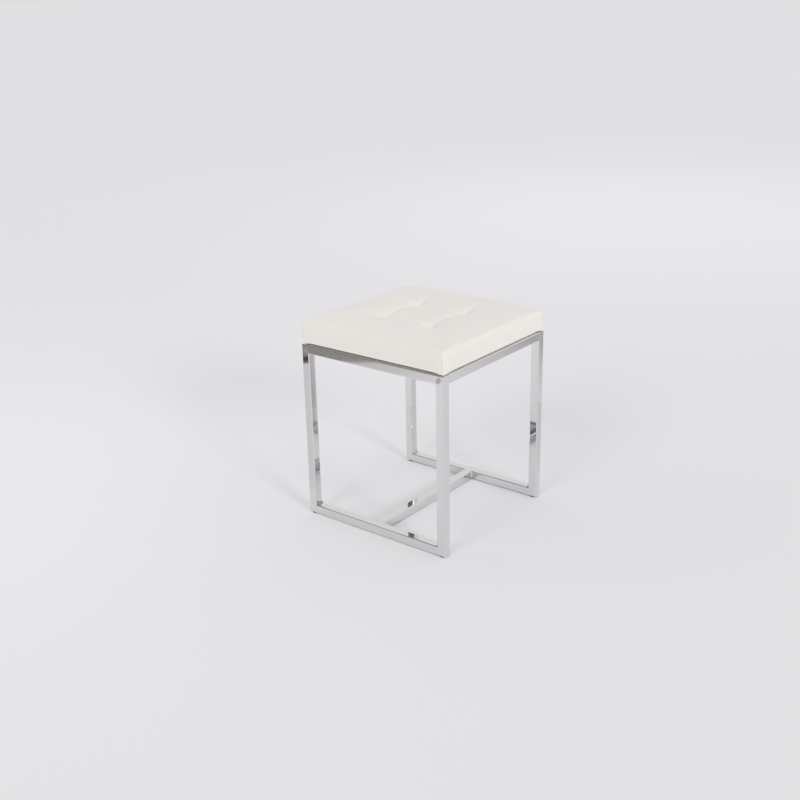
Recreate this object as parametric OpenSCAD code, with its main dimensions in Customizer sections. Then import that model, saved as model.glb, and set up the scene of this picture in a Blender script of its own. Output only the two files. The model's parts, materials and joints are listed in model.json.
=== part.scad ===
// Square upholstered shop stool on a welded tube frame.
// Millimetres. Origin on the floor under the middle of the seat, +Z up, front towards -Y.

/* [Frame] */
// Width of the frame over the legs, along X
frame_w = 380; // [320:5:460]
// Depth of the frame over the legs, along Y
frame_d = 380; // [320:5:460]
// Height of the frame from the underside of the base rails to the top of the top rails
frame_h = 402; // [340:2:480]
// Outer width of the square tube
tube_w = 20; // [19:1:25]
// Wall thickness of the tube
tube_wall = 1.2; // [1:0.1:2]
// Outer radius of the tube's long edges
tube_edge_r = 2; // [1.5:0.1:2.5]

/* [Levelling glides] */
// Diameter of the glide's plastic foot
glide_d = 16; // [12:1:18]
// Height of the foot when it is screwed right in
glide_h = 3; // [2.5:0.5:6]
// Bevel around the foot's lower edge
glide_bevel = 0.6; // [0.2:0.1:1]
// Depth of the plastic under the stud's end
glide_floor = 1; // [0.8:0.1:1.5]
// Thread diameter of the glide's stud
stud_d = 6; // [5:1:6]
// Distance the glide can be screwed out
glide_travel = 6; // [4:1:8]
// Length of stud left above the nut when the glide is right out
stud_spare = 2.8; // [1:0.2:5]
// Width across the flats of the nut welded inside the rail
nut_flats = 10; // [9:1:11]
// Height of that nut
nut_h = 5; // [4:0.5:6]

/* [Seat fixing] */
// Length of a corner tab along each rail
tab_leg = 45; // [40:1:60]
// Thickness of a corner tab
tab_t = 3; // [2:0.5:4]
// Distance of the seat screw from the inner faces of the rails
tab_hole_in = 17; // [16:0.5:18]
// Thread diameter of the seat screw
screw_d = 6; // [5:1:6]
// Length of the seat screw's thread inside the tee nut
screw_grip = 5.8; // [5:0.2:7]
// Diameter of the screw's pan head
head_d = 11.5; // [10:0.5:12]
// Height of the pan head
head_h = 3.6; // [3:0.2:4]
// Width of the head's hexagon socket
socket_w = 4; // [3:0.5:5]
// Depth of that socket
socket_h = 2; // [1.5:0.1:2.4]
// Diameter of the washer
washer_d = 13; // [12:0.5:14]
// Thickness of the washer
washer_t = 1.2; // [0.8:0.1:1.6]
// Outer diameter of the tee nut's barrel
tee_barrel_d = 7.8; // [7.4:0.1:8.4]
// Length of the barrel below the flange
tee_barrel_l = 9; // [7:0.5:10]
// Diameter of the tee nut's flange
tee_flange_d = 19; // [16:1:22]
// Thickness of the flange
tee_flange_t = 1.4; // [1:0.1:2]
// Length of the flange's prongs
prong_l = 5; // [3:0.5:7]
// Thickness of a prong
prong_t = 1.4; // [1:0.1:1.8]

/* [Seat pad] */
// Distance the pad stands out past the frame all round
pad_overhang = 2.5; // [0:0.5:8]
// Radius of the pad's upright corners, over the cover
pad_corner_r = 10; // [8:1:20]
// Height of the boxing from the frame to the top seam
pad_side_h = 48; // [40:1:70]
// Rise of the crowned top above the top seam
crown_h = 10; // [6:1:20]
// Depth of each tuft below the crown
tuft_depth = 14; // [6:1:16]
// Radius over which a tuft pulls the top down
tuft_pull_r = 12; // [8:1:20]
// Thickness of the seat board
board_t = 12; // [10:1:18]
// Thickness of the leatherette
cover_t = 1; // [0.8:0.1:1.5]
// Thickness of the wadding between foam and cover
wadding_t = 3; // [2:0.5:5]
// Distance the turned-under cover reaches inside the frame
flap_lap = 12; // [11:0.5:12.5]
// Height of the shadow gap between the pad's lower edge and the frame
gap_h = 5; // [3:0.5:7]
// Depth of the shadow gap, in from the pad's side
gap_in = 12; // [8:1:15]

/* [Tuft ties] */
// Diameter of the twine
tie_d = 2; // [1.5:0.1:3]
// Diameter of the knot under the board
knot_d = 5; // [4:0.5:7]
// Height of the knot
knot_h = 0.5; // [0.4:0.1:0.6]
// Diameter of the hole for the twine in board and foam
tie_hole_d = 6; // [5:0.5:8]
// Diameter of the anchor disc under the board
anchor_d = 16; // [12:1:20]
// Thickness of the anchor disc
anchor_t = 0.8; // [0.6:0.1:0.9]

/* [Underside] */
// Thickness of the dust cover
dust_t = 0.4; // [0.3:0.1:0.6]
// Gap between the dust cover's edge and the rails
dust_gap = 2; // [1:0.5:3]
// Distance of the cover's staples from the inner faces of the rails
cover_staple_in = 4.5; // [4:0.5:5]
// Distance of the dust cover's staples from the inner faces of the rails
dust_staple_in = 8.5; // [8:0.5:9.5]
// Width of a staple's crown
staple_w = 10; // [8:1:12]
// Length of a staple's legs
staple_l = 8; // [6:1:9]
// Width of the staple wire, along the board
wire_w = 1; // [0.8:0.1:1.2]
// Thickness of the staple wire
wire_t = 0.6; // [0.5:0.1:0.8]
// Largest distance from one staple to the next
staple_pitch = 48; // [35:1:70]

/* [Hidden] */

// Smoothness of bores and small round pieces
$fn = 48;
// Overrun of a cut past the faces it opens
cut = 1;
// Radial clearance of a thread drawn as a plain shaft in a plain bore
thread_gap = 0.05;
// Radial clearance of a bolt, stud or twine in a drilled hole
hole_gap = 0.4;
// Clearance of a soft piece around a hard one
soft_gap = 0.2;
// Smallest corner radius of the pad's plan, where it is drawn in further than its own radius
least_r = 1;

// Levels, from the floor up
base_z = glide_h;
frame_top_z = base_z + frame_h;
flap_z = frame_top_z;
board_z = flap_z + cover_t;
lip_z = flap_z + gap_h;
lip_top_z = lip_z + cover_t;
foam_z = board_z + board_t;
seam_z = frame_top_z + pad_side_h;

// Frame places
leg_x = frame_w / 2;
leg_y = frame_d / 2;
inner_x = leg_x - tube_w;
inner_y = leg_y - tube_w;
tube_mid = tube_w / 2;
glide_x = leg_x - tube_mid;
glide_y = leg_y - tube_mid;
stud_top_z = base_z + tube_wall + nut_h + glide_travel + stud_spare;

// Seat fixing places
tab_top_z = frame_top_z - tube_edge_r;
tab_z = tab_top_z - tab_t;
washer_z = tab_z - washer_t;
screw_top_z = foam_z - tee_barrel_l + screw_grip;
screw_x = inner_x - tab_hole_in;
screw_y = inner_y - tab_hole_in;

// Half sizes of the pad over the cover, over the wadding and over the foam
pad_x = leg_x + pad_overhang;
pad_y = leg_y + pad_overhang;
board_inset = cover_t + wadding_t;

// Underside of the pad: staple crowns, then the dust cover below them
dust_top_z = flap_z - wire_t;
dust_z = dust_top_z - dust_t;

// Tufts, as shares of the pad's half size
tuft_share = 0.31;
ring_shares = [0.12, 0.21, 0.26, tuft_share, 0.36, 0.44, 0.57, 0.7, 0.82, 0.91, 0.97, 1];
// Exponents of the crown: how flat the middle is, and how steeply it rolls over at the edge
crown_flat_share = 3;
crown_roll_share = 0.6;
// Exponent of a tuft's pull: how sharply the top rises around it
pull_fall_share = 1.5;
// Points along a straight side and around a corner of each ring
side_steps = 10;
arc_steps = 4;
// A tuft sits at the middle of its ring's corner
tuft_x = tuft_share * (pad_x - pad_corner_r * (1 - cos(45)));
tuft_y = tuft_share * (pad_y - pad_corner_r * (1 - cos(45)));
tie_top_z = seam_z + crown_z([tuft_x, tuft_y]) - cover_t - soft_gap;

steel = [0.78, 0.79, 0.81];
zinc = [0.66, 0.67, 0.70];
black = [0.06, 0.06, 0.07];
plywood = [0.80, 0.66, 0.46];
leatherette = [0.90, 0.88, 0.84];

// Rounded square, kept as true arcs
module rounded_rect(w, d, r) {
    square([w - 2 * r, d], center = true);
    square([w, d - 2 * r], center = true);
    for (sx = [-1, 1], sy = [-1, 1])
        translate([sx * (w / 2 - r), sy * (d / 2 - r)]) circle(r);
}

// Tube standing on the origin, hollow right through
module tube(length) {
    linear_extrude(length) difference() {
        rounded_rect(tube_w, tube_w, tube_edge_r);
        rounded_rect(tube_w - 2 * tube_wall, tube_w - 2 * tube_wall, tube_edge_r - tube_wall);
    }
}

// Keeps what lies inside an outline drawn in the X-Z plane of a loop
module within_outline(points) {
    intersection() {
        children();
        translate([0, tube_w, 0]) rotate([90, 0, 0]) linear_extrude(tube_w) polygon(points);
    }
}

// Leg of a loop, its outer lower corner on the origin, both ends mitred
module loop_leg() {
    within_outline([
        [-cut, -cut], [tube_w + cut, tube_w + cut],
        [tube_w + cut, frame_h - tube_w - cut], [-cut, frame_h + cut]
    ])
        translate([tube_mid, tube_mid, 0]) tube(frame_h);
}

// Rail of a loop, both ends mitred at their upper edge
module loop_rail() {
    within_outline([
        [-cut, -cut], [frame_w + cut, -cut],
        [frame_w - tube_w - cut, tube_w + cut], [tube_w + cut, tube_w + cut]
    ])
        translate([0, tube_mid, tube_mid]) rotate([0, 90, 0]) tube(frame_w);
}

// Square-cut tube between the two loops, at height z
module cross_tube(x, z) {
    translate([x, -inner_y, z + tube_mid]) rotate([-90, 0, 0]) tube(2 * inner_y);
}

module leg(sx, sy) {
    color(steel)
        mirror([sx > 0 ? 1 : 0, 0, 0]) mirror([0, sy > 0 ? 1 : 0, 0])
            translate([-leg_x, -leg_y, base_z]) loop_leg();
}

module base_rail(sy) {
    color(steel) mirror([0, sy > 0 ? 1 : 0, 0])
        translate([-leg_x, -leg_y, base_z]) difference() {
            loop_rail();
            for (x = [tube_mid, frame_w - tube_mid])
                translate([x, tube_mid, -cut])
                    cylinder(h = tube_wall + 2 * cut, d = stud_d + 2 * hole_gap);
        }
}

module top_rail_loop(sy) {
    color(steel) mirror([0, sy > 0 ? 1 : 0, 0])
        translate([-leg_x, -leg_y, frame_top_z]) mirror([0, 0, 1]) loop_rail();
}

module top_rail_side(sx) {
    color(steel) cross_tube(sx * (leg_x - tube_mid), frame_top_z - tube_w);
}

module base_stretcher() {
    color(steel) cross_tube(0, base_z);
}

// Flat gusset welded into an inner corner of the top frame
module corner_tab(sx, sy) {
    color(steel) mirror([sx > 0 ? 1 : 0, 0, 0]) mirror([0, sy > 0 ? 1 : 0, 0])
        translate([-inner_x, -inner_y, tab_z]) linear_extrude(tab_t) difference() {
            polygon([[0, 0], [tab_leg, 0], [0, tab_leg]]);
            translate([tab_hole_in, tab_hole_in]) circle(d = screw_d + 2 * hole_gap);
        }
}

// Hexagon nuts on the inside of the base rails, one in each corner
module glide_nuts() {
    color(zinc) for (sx = [-1, 1], sy = [-1, 1])
        translate([sx * glide_x, sy * glide_y, base_z + tube_wall]) difference() {
            cylinder(h = nut_h, d = nut_flats / cos(30), $fn = 6);
            translate([0, 0, -cut]) cylinder(h = nut_h + 2 * cut, d = stud_d);
        }
}

module glide_stud(sx, sy) {
    color(zinc) translate([sx * glide_x, sy * glide_y, glide_floor])
        cylinder(h = stud_top_z - glide_floor, r = stud_d / 2 - thread_gap);
}

module glide_foot(sx, sy) {
    rim = glide_d / 2;
    socket = stud_d / 2 - thread_gap;
    color(black) translate([sx * glide_x, sy * glide_y, 0]) rotate_extrude() polygon([
        [0, 0], [rim - glide_bevel, 0], [rim, glide_bevel], [rim, glide_h],
        [socket, glide_h], [socket, glide_floor], [0, glide_floor]
    ]);
}

// Copies a child to the four seat screw places
module at_screws() {
    for (sx = [-1, 1], sy = [-1, 1]) translate([sx * screw_x, sy * screw_y, 0]) children();
}

module seat_screws() {
    color(zinc) at_screws() difference() {
        union() {
            translate([0, 0, washer_z - head_h]) cylinder(h = head_h, d = head_d);
            translate([0, 0, washer_z - head_h / 2])
                cylinder(h = screw_top_z - washer_z + head_h / 2, r = screw_d / 2 - thread_gap);
        }
        translate([0, 0, washer_z - head_h - cut])
            cylinder(h = socket_h + cut, d = socket_w / cos(30), $fn = 6);
    }
}

module screw_washers() {
    color(zinc) at_screws() translate([0, 0, washer_z]) linear_extrude(washer_t) difference() {
        circle(d = washer_d);
        circle(d = screw_d + 2 * hole_gap);
    }
}

// Tee nuts driven into the board from above, with three prongs each
module tee_nuts() {
    color(zinc) at_screws() translate([0, 0, foam_z]) difference() {
        union() {
            cylinder(h = tee_flange_t, d = tee_flange_d);
            translate([0, 0, -tee_barrel_l]) cylinder(h = tee_barrel_l + tee_flange_t, d = tee_barrel_d);
            for (turn = [0, 120, 240]) rotate(turn)
                translate([tee_flange_d / 2 - 2 * prong_t, prong_t / 2, 0]) rotate([90, 0, 0])
                    linear_extrude(prong_t) polygon([
                        [0, -prong_l], [prong_t, 0], [prong_t, tee_flange_t], [0, tee_flange_t]
                    ]);
        }
        translate([0, 0, -tee_barrel_l - cut])
            cylinder(h = tee_barrel_l + tee_flange_t + 2 * cut, d = screw_d);
    }
}

// Copies a child to the four tufts
module at_tufts() {
    for (sx = [-1, 1], sy = [-1, 1]) translate([sx * tuft_x, sy * tuft_y, 0]) children();
}

// Plan of the pad, drawn in from the outside of the cover
module pad_plan(inset) {
    rounded_rect(2 * (pad_x - inset), 2 * (pad_y - inset), max(least_r, pad_corner_r - inset));
}

// Plywood board, its lower edge rebated for the shadow gap
module seat_board() {
    color(plywood) difference() {
        union() {
            translate([0, 0, board_z]) linear_extrude(board_t) pad_plan(gap_in + cover_t + soft_gap);
            translate([0, 0, lip_top_z]) linear_extrude(foam_z - lip_top_z) pad_plan(board_inset + soft_gap);
        }
        translate([0, 0, board_z - cut]) linear_extrude(board_t + 2 * cut) {
            at_screws() circle(d = tee_barrel_d + 2 * soft_gap);
            at_tufts() circle(d = tie_hole_d);
        }
    }
}

// Ring of points around the pad, anticlockwise from its +X side
function straight_run(a, b) = [for (i = [0:side_steps]) a + (b - a) * i / side_steps];
function corner_run(centre, r, start) =
    [for (i = [1:arc_steps - 1]) let (a = start + 90 * i / arc_steps) centre + r * [cos(a), sin(a)]];
function pad_ring(inset) =
    let (x = pad_x - inset, y = pad_y - inset, r = pad_corner_r - inset, cx = x - r, cy = y - r)
    concat(
        straight_run([x, -cy], [x, cy]), corner_run([cx, cy], r, 0),
        straight_run([cx, y], [-cx, y]), corner_run([-cx, cy], r, 90),
        straight_run([-x, cy], [-x, -cy]), corner_run([-cx, -cy], r, 180),
        straight_run([-cx, -y], [cx, -y]), corner_run([cx, -cy], r, 270)
    );

// Height of the cover's top face above the seam, at a point of the outermost plan
function crown_share(u) = pow(max(0, 1 - pow(abs(u), crown_flat_share)), crown_roll_share);
function tuft_pull(p) = max([for (sx = [-1, 1], sy = [-1, 1])
    exp(-pow(norm(p - [sx * tuft_x, sy * tuft_y]) / tuft_pull_r, pull_fall_share))]);
function crown_z(p) =
    (crown_h - tuft_depth * tuft_pull(p)) * crown_share(p[0] / pad_x) * crown_share(p[1] / pad_y);

// Rings of one layer's top face, from the middle out, lying drop below the cover's top face
function layer_rings(inset, drop, edge_z) =
    let (outer = pad_ring(0), own = pad_ring(inset))
    [for (s = ring_shares) [for (i = [0:len(own) - 1])
        [s * own[i][0], s * own[i][1], s == 1 ? edge_z : seam_z + crown_z(s * outer[i]) - drop]]];
function ring_at(inset, z) = [for (p = pad_ring(inset)) [p[0], p[1], z]];
function reversed(list) = [for (i = [len(list) - 1:-1:0]) list[i]];

// Closed solid lofted through rings of equal length, from its upper middle point to its lower one.
// Past the rings of its upper face each quad is split the other way, so an underside matches the layer below.
module lofted(rings, upper, lower) {
    n = len(rings[0]);
    k = len(rings);
    polyhedron(
        points = concat([for (ring = rings) each ring], [upper, lower]),
        faces = concat(
            [for (i = [0:n - 1]) [k * n, (i + 1) % n, i]],
            [for (j = [0:k - 2], i = [0:n - 1])
                let (a = j * n + i, b = j * n + (i + 1) % n, c = a + n, d = b + n)
                each j < len(ring_shares) ? [[a, b, d], [a, d, c]] : [[a, b, c], [b, d, c]]],
            [for (i = [0:n - 1]) [k * n + 1, (k - 1) * n + i, (k - 1) * n + (i + 1) % n]]
        )
    );
}

// Way of the twine through foam and wadding
module tie_hole() {
    translate([0, 0, foam_z - cut]) cylinder(h = pad_side_h + crown_h, d = tie_d + 2 * soft_gap);
}

module foam_block() {
    color([0.93, 0.89, 0.66]) difference() {
        lofted(
            concat(layer_rings(board_inset, board_inset, seam_z - wadding_t), [ring_at(board_inset, foam_z)]),
            [0, 0, seam_z + crown_z([0, 0]) - board_inset], [0, 0, foam_z]
        );
        at_screws() translate([0, 0, foam_z - cut])
            cylinder(h = tee_flange_t + soft_gap + cut, d = tee_flange_d + 2 * soft_gap);
        at_tufts() tie_hole();
    }
}

// Wadding over the foam's top and down the sides of foam and board
module wadding() {
    color("white") difference() {
        lofted(
            concat(
                layer_rings(cover_t, cover_t, seam_z),
                [ring_at(cover_t, lip_top_z), ring_at(board_inset, lip_top_z)],
                reversed(layer_rings(board_inset, board_inset, seam_z - wadding_t))
            ),
            [0, 0, seam_z + crown_z([0, 0]) - cover_t], [0, 0, seam_z + crown_z([0, 0]) - board_inset]
        );
        at_tufts() tie_hole();
    }
}

// Top panel of the cover, its edge resting on the boxing at the seam
module cover_top() {
    color(leatherette) lofted(
        concat(layer_rings(0, 0, seam_z), reversed(layer_rings(cover_t, cover_t, seam_z))),
        [0, 0, seam_z + crown_z([0, 0])], [0, 0, seam_z + crown_z([0, 0]) - cover_t]
    );
}

// Part of the plan on one side, from one of the pad's corners to the next
module between_corners(from, to) {
    intersection() {
        children();
        polygon([[0, 0], [from[0] * 2 * pad_x, from[1] * 2 * pad_y], [to[0] * 2 * pad_x, to[1] * 2 * pad_y]]);
    }
}

// Side panel, turned in under the board's lip, down its rebate and under the board, from corner seam to corner seam
module boxing(from, to) {
    color(leatherette) {
        translate([0, 0, lip_z]) linear_extrude(seam_z - lip_z) between_corners(from, to) difference() {
            pad_plan(0);
            pad_plan(cover_t);
        }
        translate([0, 0, lip_z]) linear_extrude(cover_t) between_corners(from, to) difference() {
            pad_plan(0);
            pad_plan(gap_in + cover_t);
        }
        translate([0, 0, flap_z]) linear_extrude(gap_h + cover_t) between_corners(from, to) difference() {
            pad_plan(gap_in);
            pad_plan(gap_in + cover_t);
        }
        translate([0, 0, flap_z]) linear_extrude(cover_t) between_corners(from, to) difference() {
            pad_plan(gap_in);
            square([2 * (inner_x - flap_lap), 2 * (inner_y - flap_lap)], center = true);
        }
    }
}

// Twine from under the cover, through foam and board, to a knot below the anchor disc
module tuft_ties() {
    color("ivory") at_tufts() {
        translate([0, 0, board_z - anchor_t - knot_h]) cylinder(h = knot_h, d = knot_d);
        translate([0, 0, board_z - anchor_t - knot_h / 2])
            cylinder(h = tie_top_z - board_z + anchor_t + knot_h / 2, d = tie_d);
    }
}

module tie_anchors() {
    color([0.35, 0.22, 0.14]) at_tufts() translate([0, 0, board_z - anchor_t])
        linear_extrude(anchor_t) difference() {
            circle(d = anchor_d);
            circle(d = tie_d + 2 * soft_gap);
        }
}

module dust_cover() {
    color(black) translate([0, 0, dust_z]) linear_extrude(dust_t) difference() {
        square([2 * (inner_x - dust_gap), 2 * (inner_y - dust_gap)], center = true);
        at_screws() circle(d = screw_d + 2 * hole_gap);
    }
}

// One staple, its crown along X and its upper face on the origin's level
module staple() {
    translate([-staple_w / 2, -wire_w / 2, -wire_t]) cube([staple_w, wire_w, wire_t]);
    for (sx = [-1, 1])
        translate([sx * (staple_w - wire_t) / 2 - wire_t / 2, -wire_w / 2, -wire_t])
            cube([wire_t, wire_w, staple_l]);
}

// Row of staples on each side of a rectangle given by its half sizes
module staple_rows(half_w, half_d, z) {
    run_x = half_w - tab_leg / 2;
    run_y = half_d - tab_leg / 2;
    for (side = [[run_x, half_d, 0], [run_y, half_w, 90], [run_x, half_d, 180], [run_y, half_w, 270]]) {
        gaps = ceil(2 * side[0] / staple_pitch);
        for (i = [0:gaps])
            rotate(side[2]) translate([-side[0] + 2 * side[0] * i / gaps, -side[1], z]) staple();
    }
}

module cover_staples() {
    color(zinc) staple_rows(inner_x - cover_staple_in, inner_y - cover_staple_in, flap_z);
}

module dust_cover_staples() {
    color(zinc) staple_rows(inner_x - dust_staple_in, inner_y - dust_staple_in, dust_z);
}

leg(-1, -1);  // leg_front_left
leg(1, -1);  // leg_front_right
leg(-1, 1);  // leg_back_left
leg(1, 1);  // leg_back_right
base_rail(-1);  // base_rail_front
base_rail(1);  // base_rail_back
base_stretcher();
top_rail_loop(-1);  // top_rail_front
top_rail_loop(1);  // top_rail_back
top_rail_side(-1);  // top_rail_left
top_rail_side(1);  // top_rail_right
corner_tab(-1, -1);  // corner_tab_front_left
corner_tab(1, -1);  // corner_tab_front_right
corner_tab(-1, 1);  // corner_tab_back_left
corner_tab(1, 1);  // corner_tab_back_right
glide_nuts();
glide_stud(-1, -1);  // glide_stud_front_left
glide_stud(1, -1);  // glide_stud_front_right
glide_stud(-1, 1);  // glide_stud_back_left
glide_stud(1, 1);  // glide_stud_back_right
glide_foot(-1, -1);  // glide_foot_front_left
glide_foot(1, -1);  // glide_foot_front_right
glide_foot(-1, 1);  // glide_foot_back_left
glide_foot(1, 1);  // glide_foot_back_right
seat_screws();
screw_washers();
tee_nuts();
seat_board();
foam_block();
wadding();
cover_top();
boxing([-1, -1], [1, -1]);  // boxing_front
boxing([1, -1], [1, 1]);  // boxing_right
boxing([1, 1], [-1, 1]);  // boxing_back
boxing([-1, 1], [-1, -1]);  // boxing_left
tuft_ties();
tie_anchors();
dust_cover();
cover_staples();
dust_cover_staples();
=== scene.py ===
"""Looks of a square shop stool: a tufted leatherette pad on a chromed square-tube frame.

All lengths are metres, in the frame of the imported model: +Z up, the front towards -Y, the floor at z = 0.
"""

import json
import logging
import math
from dataclasses import dataclass
from enum import Enum
from typing import Iterable

import bmesh
import bpy
import numpy as np
from mathutils import Matrix, Vector, noise


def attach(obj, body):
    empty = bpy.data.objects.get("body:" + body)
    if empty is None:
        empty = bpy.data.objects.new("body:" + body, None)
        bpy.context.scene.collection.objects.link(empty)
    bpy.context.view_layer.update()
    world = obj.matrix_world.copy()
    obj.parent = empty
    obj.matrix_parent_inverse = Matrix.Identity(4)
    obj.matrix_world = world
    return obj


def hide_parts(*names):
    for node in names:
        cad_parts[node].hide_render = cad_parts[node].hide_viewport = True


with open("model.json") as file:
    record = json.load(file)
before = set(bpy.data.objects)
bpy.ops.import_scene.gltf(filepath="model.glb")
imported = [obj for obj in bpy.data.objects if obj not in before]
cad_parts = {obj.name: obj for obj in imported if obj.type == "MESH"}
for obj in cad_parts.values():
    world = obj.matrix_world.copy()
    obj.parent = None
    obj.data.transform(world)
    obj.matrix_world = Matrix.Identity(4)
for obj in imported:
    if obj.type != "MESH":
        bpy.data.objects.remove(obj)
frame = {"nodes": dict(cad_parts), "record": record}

LOG = logging.getLogger("stool")
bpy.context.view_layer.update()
BODY = "frame_and_seat"
MM = 0.001
X_WAY = Vector((1, 0, 0))
Y_WAY = Vector((0, 1, 0))
Z_WAY = Vector((0, 0, 1))
# A distance in mm that no point of the stool has from another.
FAR = 1000.0
# What each point of the cover remembers of the flat panels: two distances in mm and an angle.
MARKS = ("from_seam", "from_corner", "around")
SIDES = ("front", "back", "left", "right")


class Slot(Enum):
    """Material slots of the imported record."""

    CHROME = "chrome_tube"
    ZINC = "zinc_steel"
    NYLON = "black_nylon"
    PLYWOOD = "plywood"
    FOAM = "foam"
    WADDING = "wadding"
    LEATHERETTE = "leatherette"
    TWINE = "twine"
    FIBREBOARD = "fibreboard"
    DUST_CLOTH = "dust_cloth"


Materials = dict[Slot, bpy.types.Material]
Mesh = bmesh.types.BMesh
Socket = bpy.types.NodeSocket
Tree = bpy.types.NodeTree
Place = tuple[float, float, float]
Plan = tuple[float, float]


def linear(hex_colour: str) -> tuple[float, float, float, float]:
    """Turns an sRGB hex colour to linear light.

    Args:
        hex_colour: six hex digits, such as "F4F1EA".

    Returns:
        Red, green, blue and an alpha of one.
    """
    shares = [int(hex_colour[i : i + 2], 16) / 255 for i in (0, 2, 4)]
    light = [s / 12.92 if s <= 0.04045 else ((s + 0.055) / 1.055) ** 2.4 for s in shares]
    return (*light, 1.0)


def add_node(tree: Tree, kind: str, settings: dict | None = None, links: dict | None = None):
    """Adds a node with its settings and its incoming links.

    Args:
        tree: the node tree that gets the node.
        kind: the node's type, such as "ShaderNodeTexNoise".
        settings: attributes by name, and input values by input name or number.
        links: outputs by the name or number of the input that they feed.

    Returns:
        The new node.
    """
    node = tree.nodes.new(kind)
    for name, value in (settings or {}).items():
        if isinstance(name, str) and hasattr(node, name):
            setattr(node, name, value)
        else:
            node.inputs[name].default_value = value
    for name, output in (links or {}).items():
        tree.links.new(output, node.inputs[name])
    return node


def smooth_shade(mesh: bpy.types.Mesh) -> None:
    """Shades every face of a mesh smooth."""
    mesh.polygons.foreach_set("use_smooth", [True] * len(mesh.polygons))


def linked(name: str, data: bpy.types.ID) -> bpy.types.Object:
    """Makes an object and puts it in the scene."""
    item = bpy.data.objects.new(name, data)
    bpy.context.scene.collection.objects.link(item)
    return item


def mesh_from(bm: Mesh, name: str, scale: float = 1.0) -> bpy.types.Mesh:
    """Keeps a working mesh.

    Args:
        bm: the working mesh, freed here.
        name: the kept mesh's name.
        scale: what its lengths are multiplied by.

    Returns:
        The kept mesh.
    """
    bmesh.ops.scale(bm, vec=(scale, scale, scale), verts=bm.verts)
    mesh = bpy.data.meshes.new(name)
    bm.to_mesh(mesh)
    bm.free()
    return mesh


def new_verts(made: dict) -> list[bmesh.types.BMVert]:
    """The vertices among what an operator made."""
    return [item for item in made["geom"] if isinstance(item, bmesh.types.BMVert)]


def open_edges(bm: Mesh) -> list[bmesh.types.BMEdge]:
    """The edges round the openings of a mesh."""
    return [edge for edge in bm.edges if edge.is_boundary]


def drawn_out(bm: Mesh, ring: list[bmesh.types.BMVert], run: Vector) -> None:
    """Closes a ring of vertices to a face and draws that out to a bar."""
    face = bmesh.ops.contextual_create(bm, geom=ring)["faces"]
    made = bmesh.ops.extrude_face_region(bm, geom=face)
    bmesh.ops.translate(bm, vec=run, verts=new_verts(made))


@dataclass(frozen=True)
class Finish:
    """A surface finish: a name, a colour and how smooth the surface is."""

    name: str
    colour: str
    roughness: float

    def material(self) -> bpy.types.Material:
        """Makes the material."""
        material = bpy.data.materials.new(self.name)
        material.use_nodes = True
        tree = material.node_tree
        tree.nodes.clear()
        shader = add_node(tree, "ShaderNodeBsdfPrincipled", {"Roughness": self.roughness})
        shader.inputs["Base Color"].default_value = linear(self.colour)
        add_node(tree, "ShaderNodeOutputMaterial", links={"Surface": shader.outputs[0]})
        place = add_node(tree, "ShaderNodeTexCoord").outputs["Object"]
        self.draw(tree, shader, place)
        return material

    def draw(self, tree: Tree, shader: bpy.types.Node, place: Socket) -> None:
        """Draws the finish into its material.

        Args:
            tree: the material's node tree.
            shader: the material's shader.
            place: object coordinates, in metres.
        """
        raise NotImplementedError


def noise_at(tree: Tree, place: Socket, size_mm: float, **more) -> Socket:
    """Noise whose blotches are about a real size across.

    Args:
        tree: the material's node tree.
        place: the coordinates to read, in metres.
        size_mm: the blotches' size.
        more: further settings of the noise.

    Returns:
        The noise's value.
    """
    settings = {"Scale": 1 / (size_mm * MM), "Detail": 4.0, "Roughness": 0.55, **more}
    return add_node(tree, "ShaderNodeTexNoise", settings, {"Vector": place}).outputs["Fac"]


def between(tree: Tree, value: Socket, low: float, high: float) -> Socket:
    """Spreads a value from 0 to 1 over a narrower range."""
    settings = {"To Min": low, "To Max": high}
    return add_node(tree, "ShaderNodeMapRange", settings, {"Value": value}).outputs["Result"]


def tint(tree: Tree, share: Socket, dark: str, light: str) -> Socket:
    """Mixes two colours by a share."""
    settings = {"data_type": "RGBA", 6: linear(dark), 7: linear(light)}
    return add_node(tree, "ShaderNodeMix", settings, {0: share}).outputs[2]


def paint(tree: Tree, shader: bpy.types.Node, share: Socket, dark: str, light: str) -> None:
    """Gives a shader a base colour that runs between two."""
    tree.links.new(tint(tree, share, dark, light), shader.inputs["Base Color"])


def polish(tree: Tree, shader: bpy.types.Node, share: Socket, low: float, high: float) -> None:
    """Gives a shader a roughness that runs between two."""
    tree.links.new(between(tree, share, low, high), shader.inputs["Roughness"])


def relief(tree: Tree, shader: bpy.types.Node, layers: Iterable[tuple]) -> None:
    """Gives a shader one bump over another.

    Args:
        tree: the material's node tree.
        shader: the shader whose normal is set.
        layers: height socket, depth in mm and strength of each bump, the coarsest first.
    """
    normal = None
    for height, depth_mm, strength in layers:
        links = {"Height": height} if normal is None else {"Height": height, "Normal": normal}
        bump = add_node(tree, "ShaderNodeBump", {"Distance": depth_mm * MM, "Strength": strength}, links)
        normal = bump.outputs["Normal"]
    tree.links.new(normal, shader.inputs["Normal"])


@dataclass(frozen=True)
class ChromePlate(Finish):
    """Bright chromium over nickel on polished steel tube: a mirror with a faint orange-peel waviness."""

    waviness_mm: float = 28.0
    smear_mm: float = 45.0

    def draw(self, tree: Tree, shader: bpy.types.Node, place: Socket) -> None:
        """Draws the finish."""
        shader.inputs["Metallic"].default_value = 1.0
        smears = noise_at(tree, place, self.smear_mm, Detail=6.0)
        polish(tree, shader, smears, self.roughness * 0.6, self.roughness * 1.5)
        waves = noise_at(tree, place, self.waviness_mm, Detail=1.0)
        relief(tree, shader, [(waves, 0.05, 0.35)])


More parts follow.
